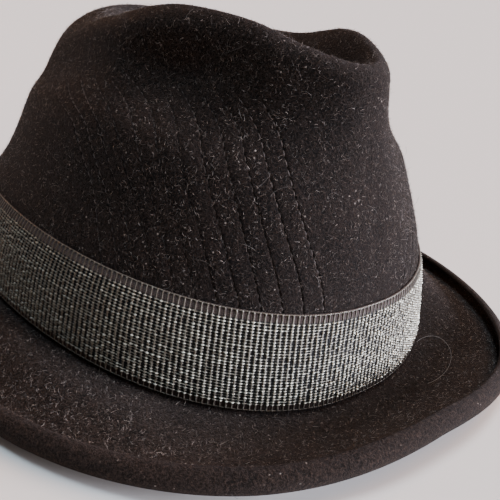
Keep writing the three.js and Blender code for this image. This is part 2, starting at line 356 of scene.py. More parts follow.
class StitchChart:
    """Numbers the rows of stitches over the crown's wall. A row is a curve of turn over run: it
    starts at its own place over the ribbon and swings to the back on its way up."""

    foot, gap = 11.4, 4.12
    spread, widen = 10.7, 3.08
    early, early_fade, early_run, early_span = 3.4, 1.1, 1.36, 0.32
    drop, drop_from, drop_end, drop_fade = 0.011, 4.0, 1.60, 0.20
    top_run, top_step = 1.265, 0.008
    swing = np.array([
        (1.00, 1.50), (1.20, 1.42), (1.25, 1.32), (1.29, 1.08), (1.325, 0.79), (1.345, 0.64),
        (1.37, 0.52), (1.42, 0.42), (1.49, 0.32), (1.57, 0.20), (1.65, 0.09), (1.72, 0.0),
        (2.00, -0.1),
    ])
    beside = (0.0, 0.22, 0.45, 0.8, 1.5, 2.6)
    front_columns, back_columns = 26, 44

    def __init__(self, sizes, wall_rows):
        self.rows = sizes.stitch_rows
        self.spacing = sizes.stitch_spacing / MM
        self.runs = 1 + np.arange(wall_rows + 1) / wall_rows
        self.numbers = np.arange(-0.5, self.rows - 0.4, 0.25)
        self.table = self.line(self.numbers[None, :], self.runs[:, None])

    def line(self, number, run):
        """Turn of a row of stitches: even gaps at its foot, plus a swing that widens from row to
        row and comes lower on the crown for each, and an early swing of the first rows."""
        lower = self.drop * (number - self.drop_from)
        lower = lower * smooth_step((self.drop_end - run) / self.drop_fade)
        swing = table_value(self.swing, 1, np.clip(run - lower, 1, 2))
        early = np.maximum(self.early - self.early_fade * number, 0)
        early = early * bump((run - self.early_run) / self.early_span)
        degrees = self.foot + self.gap * number + (self.spread + self.widen * number) * swing
        return np.radians(degrees + early)

    def top(self, number):
        """Run at which a row of stitches ends under the crown's ridge."""
        return self.top_run + self.top_step * number

    def columns(self):
        """Turns of the mesh's columns for each wall row, on one side from front to back: even
        steps to the first row of stitches, close steps beside each row, even steps to the back."""
        offsets = np.array(self.beside)
        offsets = np.concatenate([-offsets[:0:-1], offsets]) / self.spacing
        near = (np.arange(self.rows)[:, None] + offsets[None, :]).ravel()
        first, last = self.table[:, :1], self.table[:, -1:]
        even = np.arange(self.front_columns)[None, :] / self.front_columns
        rest = np.arange(self.back_columns)[None, :] / (self.back_columns - 1)
        return np.concatenate([
            first * even,
            np.array([np.interp(near, self.numbers, row) for row in self.table]),
            last + (np.pi - last) * rest,
        ], 1)

    def numbers_at(self, turns):
        """Row number for a table of turns, one line per wall row."""
        return np.array([np.interp(np.abs(t), row, self.numbers)
                         for t, row in zip(turns, self.table)])


# Meshes

def put_mesh(name, points, faces, material, body="root", smooth=True,
             attributes=None, uv=None):
    """Object from an array of points in millimetres and a list of face arrays, each of one
    number of corners. attributes are floats for each point, and uv a pair for each point."""
    mesh = bpy.data.meshes.new(name)
    flat = [np.asarray(f, np.int64) for f in faces if len(f)]
    corners = np.concatenate([f.ravel() for f in flat])
    sizes = np.concatenate([np.full(len(f), f.shape[1]) for f in flat])
    starts = np.concatenate([[0], np.cumsum(sizes)[:-1]])
    mesh.vertices.add(len(points))
    mesh.vertices.foreach_set("co", (np.asarray(points) * MM).astype(np.float32).ravel())
    mesh.loops.add(len(corners))
    mesh.loops.foreach_set("vertex_index", corners.astype(np.int32))
    mesh.polygons.add(len(sizes))
    mesh.polygons.foreach_set("loop_start", starts.astype(np.int32))
    mesh.polygons.foreach_set("use_smooth", np.full(len(sizes), smooth))
    mesh.update(calc_edges=True)
    mesh.validate()
    for key, values in (attributes or {}).items():
        layer = mesh.attributes.new(key, "FLOAT", "POINT")
        layer.data.foreach_set("value", np.asarray(values, np.float32).ravel())
    if uv is not None:
        layer = mesh.uv_layers.new(name="weave")
        layer.data.foreach_set("uv", np.asarray(uv, np.float32)[corners].ravel())
    piece = bpy.data.objects.new(name, mesh)
    bpy.context.scene.collection.objects.link(piece)
    mesh.materials.append(material)
    if body:
        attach(piece, body)
    return piece


def strip_faces(index):
    """Quads between the neighbouring lines of an index table that closes on itself sideways."""
    beside = np.roll(index, -1, axis=1)
    quads = np.stack([index[:-1], index[1:], beside[1:], beside[:-1]], -1)
    return quads.reshape(-1, 4)


def rings(centres, side, up, width, height, sides, start):
    """Oval rings round centres, one more axis for their corners. width and height are the half
    axes along side and up, and start turns the first corner, as a share of one corner's step."""
    angle = 2 * np.pi * (np.arange(sides) + start) / sides
    width, height = (np.broadcast_to(x, centres.shape[:-1])[..., None] for x in (width, height))
    across = side[..., None, :] * (width * np.cos(angle))[..., None]
    return centres[..., None, :] + across + up[..., None, :] * (height * np.sin(angle))[..., None]


def section_axes(along, normal):
    """Across and up for a yarn that runs along a surface with that normal."""
    side = unit(np.cross(normal, along))
    return side, np.cross(along, side)


# How far a tube's point stands past its last ring, as a share of its last step.
TUBE_TIP = 0.25


def tubes(centres, normal, width, height, sides):
    """Closed tubes with pointed ends along centres, which has the shape (tubes, points, 3).
    width and height are the half axes of the oval section, across and along the normal. Gives
    the points, the faces and the number of points in one tube."""
    count, points = centres.shape[:2]
    size = points * sides
    side, up = section_axes(unit(np.gradient(centres, axis=1)), normal)
    body = rings(centres, side, up, width, height, sides, 0.5).reshape(count, size, 3)
    first = centres[:, 0] - (centres[:, 1] - centres[:, 0]) * TUBE_TIP
    last = centres[:, -1] + (centres[:, -1] - centres[:, -2]) * TUBE_TIP
    verts = np.concatenate([body, first[:, None], last[:, None]], 1).reshape(-1, 3)
    base = (np.arange(count) * (size + 2))[:, None, None]
    i, j = np.meshgrid(np.arange(points - 1), np.arange(sides), indexing="ij")
    after = (j + 1) % sides
    quad = np.stack([i * sides + j, i * sides + after, (i + 1) * sides + after,
                     (i + 1) * sides + j], -1).reshape(1, -1, 4)
    j = np.arange(sides)
    after = (j + 1) % sides
    end = size - sides
    head = np.stack([np.full(sides, size), after, j], -1)
    tail = np.stack([np.full(sides, size + 1), end + j, end + after], -1)
    caps = np.concatenate([head, tail])[None]
    return verts, [(quad + base).reshape(-1, 4), (caps + base).reshape(-1, 3)], size + 2


# Materials

class Shade:
    """A socket of a material. Arithmetic on it adds Math nodes."""

    def __init__(self, tree, socket=None):
        self.tree = tree
        self.socket = socket

    def node(self, kind, settings=None, values=None, output=0):
        """A node of any type: its settings first, then the values or links of its sockets."""
        node = self.tree.nodes.new(kind)
        for name, value in (settings or {}).items():
            if name == "stops":
                ramp = node.color_ramp.elements
                while len(ramp) < len(value):
                    ramp.new(1.0)
                for stop, (position, shade) in zip(ramp, value):
                    stop.position = position
                    stop.color = shade
            else:
                setattr(node, name, value)
        for name, value in (values or {}).items():
            if isinstance(value, Shade):
                self.tree.links.new(value.socket, node.inputs[name])
            else:
                node.inputs[name].default_value = value
        return Shade(self.tree, node.outputs[output] if len(node.outputs) else None)

    def other(self, number):
        """Another output of the same node."""
        return Shade(self.tree, self.socket.node.outputs[number])

    def math(self, operation, first, second=0.0):
        return self.node("ShaderNodeMath", {"operation": operation}, {0: first, 1: second})

    def __add__(self, other):
        return self.math("ADD", self, other)

    def __sub__(self, other):
        return self.math("SUBTRACT", self, other)

    def __rsub__(self, other):
        return self.math("SUBTRACT", other, self)

    def __mul__(self, other):
        return self.math("MULTIPLY", self, other)

    __radd__ = __add__
    __rmul__ = __mul__

    def between(self, low, high):
        """0 below low, 1 above high, smooth between."""
        return self.node("ShaderNodeMapRange", {"interpolation_type": "SMOOTHSTEP"},
                         {0: self, 1: low, 2: high, 3: 0.0, 4: 1.0})

    def sine(self):
        return self.math("SINE", self)

    def mix(self, first, second):
        """Colour from first to second, with this socket as the factor."""
        return self.node("ShaderNodeMix", {"data_type": "RGBA"},
                         {0: self, 6: first, 7: second}, output=2)


def rgba(value):
    return (value[0], value[1], value[2], 1.0)


def new_material(name):
    material = bpy.data.materials.new(name)
    material.use_nodes = True
    material.node_tree.nodes.clear()
    return material, Shade(material.node_tree)


def finish_material(shade, values):
    surface = shade.node("ShaderNodeBsdfPrincipled", None, values)
    shade.node("ShaderNodeOutputMaterial", None, {"Surface": surface})


def noise(shade, place, scale, detail=2.0, roughness=0.5, distortion=0.0):
    """Noise over the piece's own place. scale counts its features for each metre."""
    return shade.node("ShaderNodeTexNoise", None,
                      {"Vector": place, "Scale": scale, "Detail": detail,
                       "Roughness": roughness, "Distortion": distortion})


def bumps_from(shade, height, strength, distance):
    return shade.node("ShaderNodeBump", None,
                      {"Strength": strength, "Distance": distance, "Height": height})


def attribute(shade, name):
    return shade.node("ShaderNodeAttribute", {"attribute_name": name}, output=2)


def object_place(shade):
    return shade.node("ShaderNodeTexCoord", output=3)


def lines_in(value, width):
    """Thin curling lines, 1 where a noise passes through its middle value."""
    off = value - 0.5
    return off.math("ABSOLUTE", off).between(width, 0.0)


def felt_material(colours):
    """Matt felt: slow mottling from handling, swirls of matted fibre, curling fibres, a fine
    grain and pale specks, lighter where its wear attribute is high: partly
    wear, and partly painted light that makes the brim and its rolled edge paler than the crown."""
    material, shade = new_material("felt_cloth")
    place = object_place(shade)
    wear = attribute(shade, "wear")
    mottle = noise(shade, place, 55.0, 3.0, 0.55).between(0.35, 0.68)
    swirl = noise(shade, place, 620.0, 3.0, 0.6, 1.5)
    grain = noise(shade, place, 1500.0, 3.0, 0.7, 0.8)
    long_fibre = lines_in(noise(shade, place, 330.0, 2.0, 0.55, 2.6), 0.035)
    short_fibre = lines_in(noise(shade, place, 720.0, 1.0, 0.5, 3.2), 0.06)
    fibre = long_fibre * grain.between(0.40, 0.60) + short_fibre * swirl.between(0.42, 0.58)
    light = (0.12 * mottle + 0.20 * swirl.between(0.44, 0.68) + 0.74 * grain.between(0.50, 0.66)
             + 0.44 * fibre)
    # Paler towards the brim's edge: partly wear, and partly painted light on the brim and its
    # rolled edge.
    light = light * (0.56 + 0.85 * wear) + 0.10 * wear
    speck = shade.node("ShaderNodeTexVoronoi", None,
                       {"Vector": place, "Scale": 420.0, "Randomness": 1.0})
    speck = speck.between(0.16, 0.08) * mottle.between(0.2, 0.8) * swirl.between(0.46, 0.54)
    tint = light.mix(rgba(colours.felt), rgba(colours.felt_pale))
    relief = swirl * 0.34 + grain * 0.62 + fibre * 0.22
    finish_material(shade, {
        "Base Color": (speck * 0.55).mix(tint, rgba(colours.nap_pale)),
        "Roughness": 0.88 + 0.10 * grain,
        "Normal": bumps_from(shade, relief, 1.0, 0.0008),
        "Specular IOR Level": 0.08,
        "Sheen Weight": 0.045,
        "Sheen Roughness": 0.45,
        "Sheen Tint": (0.90, 0.70, 0.60, 1.0),
    })
    return material


def fibre_material(name, tint, tint_light):
    """Fibres, each of one tone that its own attribute gives."""
    material, shade = new_material(name)
    finish_material(shade, {
        "Base Color": attribute(shade, "tone").mix(rgba(tint), rgba(tint_light)),
        "Roughness": 0.75,
        "Specular IOR Level": 0.12,
    })
    return material


def thread_material(colours):
    """Sewing thread with a fine twist."""
    material, shade = new_material("stitch_thread")
    twist = noise(shade, object_place(shade), 3000.0, 1.0)
    finish_material(shade, {
        "Base Color": twist.between(0.3, 0.7).mix(rgba(colours.thread), rgba(colours.nap)),
        "Roughness": 0.6,
        "Specular IOR Level": 0.2,
    })
    return material


def yarn_material(colours):
    """Silvery yarn of two plies, dull where its tone is low. The tone, which sets both the colour
    and the metal's share, also carries painted shade on the ribbon's sides.
    """
    material, shade = new_material("ribbon_yarn")
    tone = attribute(shade, "tone")
    ply = noise(shade, object_place(shade), 2600.0, 2.0, 0.6)
    bright = tone * (0.6 + 0.6 * ply.between(0.35, 0.7))
    finish_material(shade, {
        "Base Color": bright.mix(rgba(colours.yarn_dull_and_shaded), rgba(colours.yarn)),
        "Roughness": 0.30 + 0.2 * ply,
        "Metallic": 0.40 + 0.30 * tone,
        "Normal": bumps_from(shade, ply, 0.5, 0.0002),
        "Specular IOR Level": 0.35,
    })
    return material


def times(colour_value, factor):
    return rgba([factor * channel for channel in colour_value])


def ground_material(colours, width):
    """The ribbon's dark ground, with fine cross threads and reddish plain edges. The pattern's
    u counts ribs and its v is the height on the ribbon in millimetres."""
    material, shade = new_material("ribbon_ground")
    pattern = shade.node("ShaderNodeUVMap", {"uv_map": "weave"})
    u = shade.node("ShaderNodeSeparateXYZ", None, {"Vector": pattern})
    v = u.other(1)
    top = width - EDGE_HIGH
    edge = 1 - v.between(EDGE_LOW, EDGE_LOW + 0.4) * (1 - v.between(top - 0.2, top + 0.2))
    fine = (u * (4 * math.pi)).sine() * 0.5 + 0.5
    cross = (v * (2 * math.pi / CROSS_THREAD)).sine() * 0.5 + 0.5
    dust = noise(shade, object_place(shade), 300.0, 3.0)
    dark = (0.5 * cross + 0.4 * dust).mix(times(colours.ground, 1), times(colours.ground, 3.2))
    plain = (0.5 * fine + 0.5 * dust).mix(times(colours.selvedge, 0.6),
                                          times(colours.selvedge, 1.8))
    finish_material(shade, {
        "Base Color": edge.mix(dark, plain),
        "Roughness": 0.55 + 0.2 * dust,
        "Normal": bumps_from(shade, fine * 0.6 + cross * 0.4, 0.6, 0.0003),
        "Specular IOR Level": 0.12,
    })
    return material


def floor_material(colours):
    """Plain pale floor with a very slight unevenness."""
    material, shade = new_material("studio_floor")
    tone = noise(shade, object_place(shade), 3.0, 2.0)
    finish_material(shade, {
        "Base Color": tone.mix(times(colours.floor, 0.98), times(colours.floor, 1)),
        "Roughness": 0.9,
        "Specular IOR Level": 0.1,
    })
    return material


# Felt

class FeltSurface:
    """The finished upper face of the felt as a table of points, one line per run and one
    column per turn, front round the left side and back to the front."""

    top_rows, wall_rows, fillet_rows, flat_rows, roll_rows = 26, 84, 4, 22, 14
    groove_depth, groove_width = 0.38, 0.21
    pleat_height = 0.16
    # In run: how early a row starts, how softly it ends, and how far it goes under the ribbon.
    row_lead, row_fade, under_band = 0.03, 0.05, 0.06
    # Slow waves of hand blocking, in millimetres.
    long_wave, middle_wave, short_wave = 0.16, 0.12, 0.07
    # Run at which the felt starts to get paler, partly as wear and partly as painted light, and the
    # run over which it gets there.
    wear_from, wear_over = 3.0, 1.1

    def __init__(self, sizes):
        self.form = HatForm(sizes)
        self.chart = StitchChart(sizes, self.wall_rows)
        wall_turns = self.chart.columns()
        rows = (self.top_rows, self.wall_rows, self.fillet_rows, self.flat_rows, self.roll_rows)
        runs = [0.0]
        turns = [wall_turns[0]]
        for i, count in enumerate(rows):
            for row in range(1, count + 1):
                runs.append(i + row / count)
                turns.append(wall_turns[row] if i == 1 else wall_turns[0 if i < 1 else -1])
        self.run = np.array(runs)[:, None]
        half = np.array(turns)
        self.turn = np.concatenate([half, -half[:, -2:0:-1]], 1)
        self.base = self.form.point(self.turn, self.run)
        self.base[0, :, 1] = 0
        self.normal = self.form.normal(self.turn, self.run)
        self.lift = self.lifts()
        self.points = self.base + self.normal * self.lift[..., None]

    def lifts(self):
        """How far the finished face stands over the plain one: a narrow groove on each row of
        stitches, a soft pleat between two rows, and slow unevenness from blocking by hand."""
        wall = slice(self.top_rows, self.top_rows + self.wall_rows + 1)
        turns = self.turn[wall]
        number = self.chart.numbers_at(turns)
        lines = self.chart.rows - 1
        off = (number - np.clip(np.round(number), 0, lines)) * self.chart.spacing
        groove = -self.groove_depth * np.exp(-(np.abs(off) / self.groove_width) ** 1.5)
        inside = smooth_step((number + 0.5) / 0.5) * smooth_step((lines + 0.5 - number) / 0.5)
        pleat = self.pleat_height * (np.sin(np.pi * number) ** 2) ** 0.7 * inside
        run = self.run[wall] + 0 * turns
        band = self.form.band_top(turns)
        shown = smooth_step((run - self.chart.top(number) + self.row_lead) / self.row_fade)
        groove = groove * shown * smooth_step((band + self.under_band - run) / 0.04)
        pleat = pleat * shown * smooth_step((band - run) / self.row_fade)
        total = np.zeros(self.turn.shape)
        total[wall] = groove + pleat
        x, y, z = np.moveaxis(self.base, -1, 0)
        waves = (
            self.long_wave * np.sin(0.075 * x + 0.03 * z + 0.6) * np.cos(0.061 * y + 0.055 * z)
            + self.middle_wave * np.sin(0.14 * x - 0.11 * y + 0.09 * z + 2.1)
            + self.short_wave * np.sin(0.23 * y + 0.19 * z + 0.21 * x)
        )
        under = (self.run > self.form.band_top(self.turn) - 0.04) & (self.run < 3.0)
        calm = np.where(under, 0.0, 1.0) * np.where(self.run > 4.2, 0.4, 1.0)
        return total + waves * calm * smooth_step(self.run * 4)

    def wear(self):
        """How pale the felt is painted: 0 on the crown, 1 on the rolled edge. Partly wear, and
        partly painted light on the brim.
        """
        return smooth_step((self.run - self.wear_from) / self.wear_over) + 0 * self.turn

    def band_mask(self):
        """True for cells of the table that the ribbon hides."""
        return (self.run > self.form.band_top(self.turn) + 0.02) & (self.run < 2.4)


# Steps round the half circle of the cut edge.
EDGE_STEPS = 6


def felt_rows(surface):
    """Lines of points across the felt: the upper face out to the edge, round the cut edge as
    half a circle, and the lower face back in at the felt's thickness under the upper one."""
    form = surface.form
    lines = list(surface.points)
    middle = surface.points[-1] - surface.normal[-1] * form.wall / 2
    forward = unit(surface.points[-1] - surface.points[-2])
    for angle in np.pi * np.arange(1, EDGE_STEPS) / EDGE_STEPS:
        lines.append(middle + surface.normal[-1] * (form.wall / 2 * math.cos(angle))
                     + forward * (form.wall / 2 * math.sin(angle)))
    keep = [i for i, run in enumerate(surface.run[:, 0])
            if run > 3.9 or i % 3 == 0 or abs(run - 3) < 0.01]
    for i in reversed(keep):
        below = surface.base[i] - surface.normal[i] * form.wall
        below[:, 2] = np.maximum(below[:, 2], 0)
        lines.append(below)
    return np.array(lines)


class HAT_OT_felt(bpy.types.Operator):
    """Make the crown and brim as one closed piece of felt"""
    bl_idname = "hat.felt"
    bl_label = "Felt body"
    # Paleness of the felt's lower face: the same mix of wear and painted light as on the upper
    # face.
    pale_underside = 0.5

    def execute(self, context):
        surface = FeltSurface(context.scene.hat_sizes)
        lines = felt_rows(surface)
        count, columns = lines.shape[:2]
        index = np.arange(count * columns).reshape(count, columns)
        mirror = np.minimum(np.arange(columns), (columns - np.arange(columns)) % columns)
        index[0] = mirror
        index[-1] = (count - 1) * columns + mirror
        used, flat = np.unique(index, return_inverse=True)
        faces = strip_faces(flat.reshape(index.shape))
        points = lines.reshape(-1, 3)[used]
        wear = np.full((count, columns), self.pale_underside)
        wear[:len(surface.run)] = surface.wear()
        piece = put_mesh("felt_crown_and_brim", points, [faces],
                         material=felt_material(context.scene.hat_colours),
                         attributes={"wear": wear.ravel()[used]})
        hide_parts("felt_body")
        return {"FINISHED"}


class HAT_OT_stitches(bpy.types.Operator):
    """Sew the slanting rows of stitches into their grooves on both sides"""
    bl_idname = "hat.stitches"
    bl_label = "Stitch rows"
    # Half the thread's thickness, the share of a step that it shows, the last place of a row,
    # the shift of every second row's stitches, and how deep five places of a stitch lie.
    thickness, share, last_run, shift = 0.17, 0.74, 1.8, 1.3
    sink = np.array([-0.75, -0.36, -0.22, -0.36, -0.75])

    def execute(self, context):
        sizes = context.scene.hat_sizes
        surface = FeltSurface(sizes)
        form, chart = surface.form, surface.chart
        pitch = sizes.stitch_length / MM
        turns, runs = [], []
        for number in range(chart.rows):
            run = np.linspace(chart.top(number), self.last_run, 200)
            turn = chart.line(number, run)
            hop = np.linalg.norm(np.diff(form.point(-turn, run), axis=0), axis=-1)
            gone = np.concatenate([[0], np.cumsum(hop)])
            end = np.interp(0, run - form.band_top(turn) - 0.01, gone)
            starts = np.arange(self.shift * (number % 2), end - pitch, pitch)
            at = starts[:, None] + np.linspace(0, pitch * self.share, len(self.sink))[None, :]
            for side in (-1, 1):
                turns.append(side * np.interp(at, gone, turn))
                runs.append(np.interp(at, gone, run))
        turn, run = np.concatenate(turns), np.concatenate(runs)
        normal = form.normal(turn, run)
        centres = form.point(turn, run) + normal * self.sink[None, :, None]
        points, faces, _ = tubes(centres, normal, self.thickness, self.thickness, 5)
        put_mesh("stitch_rows", points, faces,
                 material=thread_material(context.scene.hat_colours))
        return {"FINISHED"}


# Ribbon

def rib_turns(form, count):
    """Turns of evenly spaced places round the ribbon's foot, on both sides from the front."""
    turn = np.linspace(0, 2 * np.pi, 1441)
    line = form.band_point(turn, np.full_like(turn, 0.3), np.zeros_like(turn))
    hop = np.linalg.norm(np.diff(line, axis=0), axis=-1)
    gone = np.concatenate([[0], np.cumsum(hop)])
    return np.interp(np.arange(count) * gone[-1] / count, gone, turn)


def painted_side_shade(turn):
    """Painted shade on the yarn: the share of its brightness that is left, all at the front and
    less from the sides to the back.
    """
    return 1 - 0.52 * smooth_step((from_front(turn) - 15) / 55)


class HAT_OT_ribbon(bpy.types.Operator):
    """Weave the ribbon: a dark ground, ribs across it and rows of yarn that bead over the ribs"""
    bl_idname = "hat.ribbon"
    bl_label = "Ribbon band"
    ground_top, ground_edge = 0.85, 0.73
    rib_width, rib_height, rib_places = 0.33, 0.19, 22
    yarn_bead, yarn_between, yarn_edge = (0.22, 0.20), (0.10, 0.11), 0.17

    def ground(self, form, sizes, colours):
        """Closed ring with a flat oval section that follows the crown."""
        turn = rib_turns(form, sizes.rib_count)
        share = np.linspace(0, 1, 9)
        outside = np.full(len(share), self.ground_top)
        outside[0] = outside[-1] = self.ground_edge
        section = list(zip(share[::-1], outside[::-1])) + [(s, form.clearance) for s in share]
        lines = np.array([form.band_point(turn, np.full_like(turn, s), np.full_like(turn, o))
                          for s, o in section])
        index = np.arange(lines[..., 0].size).reshape(lines.shape[:2])
        index = np.concatenate([index, index[:1]], 0)
        width = sizes.band_width / MM
        u = np.broadcast_to(np.arange(len(turn))[None, :], lines.shape[:2])
        v = np.broadcast_to(np.array([s for s, _ in section])[:, None] * width, lines.shape[:2])
        piece = put_mesh("ribbon_ground", lines.reshape(-1, 3), [strip_faces(index)],
                         material=ground_material(colours, width),
                         uv=np.stack([u, v], -1).reshape(-1, 2))
        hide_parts("ribbon_band")

    def ribs(self, form, sizes, material, random):
        """Cords across the ribbon that show between its rows and in its plain edges, with a
        bead at each end."""
        width_mm = sizes.band_width / MM
        ends = np.array([0.2, 0.5, 0.9])
        middle = np.linspace(1.6, width_mm - 1.6, self.rib_places)
        place = np.concatenate([ends, middle, width_mm - ends[::-1]])
        turn = rib_turns(form, sizes.rib_count)[:, None] + 0 * place[None, :]
        sway = random.normal(0, 0.0005, turn.shape)
        inner = smooth_step((place - EDGE_LOW) / 0.8)
        inner = inner * smooth_step((width_mm - EDGE_HIGH - place) / 0.8)
        swell = 0.80 + 0.20 * inner
        swell[1] = swell[-2] = 1.0
        swell = swell[None, :] * (1 + random.normal(0, 0.14, turn.shape))
        offset = self.ground_top + 0.03 + 0.05 * inner[None, :] + 0 * turn
        share = place[None, :] / width_mm + 0 * turn
        centres = form.band_point(turn + sway, share, offset)
        points, faces, _ = tubes(centres, form.band_normal(turn + sway, share),
                                 self.rib_width * swell, self.rib_height * swell, 4)
        # The ribs' tone carries painted shade, darker from the front round the sides to the back.
        tone = (random.normal(0.13, 0.06, turn.shape) + 0.12 * inner) * painted_side_shade(turn)
        tone = np.repeat(np.clip(tone, 0.03, 1)[:, :, None], 4, 2).reshape(len(turn), -1)
        tone = np.concatenate([tone, tone[:, :1], tone[:, -1:]], 1)
        piece = put_mesh("ribbon_ribs", points, faces, material=material,
                         attributes={"tone": tone})
        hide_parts("ribbon_band")

    def rows_of_weave(self, form, sizes, material, random):
        """Yarns round the ribbon that rise in a bead over each rib and dip between two ribs,
        where some of them sink out of sight. over and bridge vary the beads and the dips. The
        first and the last row are plain yarns in the ribbon's edges."""
        width_mm = sizes.band_width / MM
        count, inner = sizes.rib_count, sizes.weave_rows
        rows = inner + 2
        turns = rib_turns(form, count)
        step = (np.append(turns[1:], turns[0] + 2 * np.pi) - turns)[None, :, None]
        at = np.array([0.0, 0.23, 0.5, 0.77])[None, None, :]
        bead = np.array([1.0, 0.50, 0.0, 0.50])[None, None, :]
        shape = (rows, count, 4)
        turn = turns[None, :, None] + step * (at + random.normal(0, 0.03, shape))
        level = EDGE_LOW + (np.arange(inner) + 0.5) / inner * (width_mm - EDGE_HIGH - EDGE_LOW)
        level = np.concatenate([[0.25], level, [width_mm - 0.25]])
        share = (level[:, None, None] + random.normal(0, 0.05, shape)) / width_mm
        over = np.clip(random.normal(0.75, 0.45, (rows, count, 1)), 0, 1.5)
        bridge = np.clip(random.normal(0.62, 0.45, (rows, count, 1)), 0, 1.2)
        rise = bead * (0.08 + 0.20 * over) + (1 - bead) * (bridge * 0.24 - 0.30)
        width = bead * (self.yarn_bead[0] + self.yarn_bead[1] * over) \
            + (1 - bead) * (self.yarn_between[0] + self.yarn_between[1] * bridge)
        rise[[0, -1]] = -0.10
        width[[0, -1]] = self.yarn_edge
        tone = bead * (0.14 + 0.62 * over) + (1 - bead) * (0.20 * bridge)
        # The rows' tone carries painted shade, darker from the front round the sides to the back.
        tone = tone * random.uniform(0.75, 1.25, (rows, 1, 1)) * painted_side_shade(turns)[None, :, None]
        tone[0] = 0.05 + 0.10 * tone[0]
        tone[-1] = 0.10 + 0.35 * tone[-1]
        turn, share, rise, width, tone = (x.reshape(rows, -1)
                                          for x in (turn, share, rise, width, tone))
        centres = form.band_point(turn, share, self.ground_top + 0.06 + rise)
        along = unit(np.roll(centres, -1, axis=1) - np.roll(centres, 1, axis=1))
        side, up = section_axes(along, form.band_normal(turn, share))
        ring = rings(centres, side, up, width, 0.95 * width, 3, 0.75)
        tone = np.repeat(np.clip(tone, 0.02, 1)[:, :, None], 3, 2)
        half = rows // 2
        for name, part in (("ribbon_weave_low", slice(0, half)),
                           ("ribbon_weave_high", slice(half, rows))):
            points = ring[part]
            index = np.arange(points[..., 0].size).reshape(points.shape[:3])
            beside, after = np.roll(index, -1, axis=2), np.roll(index, -1, axis=1)
            across = np.roll(after, -1, axis=2)
            quads = np.stack([index, beside, across, after], -1).reshape(-1, 4)
            piece = put_mesh(name, points.reshape(-1, 3), [quads],
                             material=material, attributes={"tone": tone[part]})
            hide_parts("ribbon_band")

    def execute(self, context):
        sizes, colours = context.scene.hat_sizes, context.scene.hat_colours
        form = HatForm(sizes)
        random = np.random.default_rng(SEED)
        material = yarn_material(colours)
        self.ground(form, sizes, colours)
        self.ribs(form, sizes, material, random)
        self.rows_of_weave(form, sizes, material, random)
        return {"FINISHED"}


# Nap

def fibre_axes(normal, level, lift):
    """Along, across and up for a fibre that leans from its level direction by its lift."""
    lift = np.radians(lift)[:, None]
    lean = level * np.cos(lift) + normal * np.sin(lift)
    side = unit(np.cross(lean, normal))
    return lean, side, np.cross(side, lean)


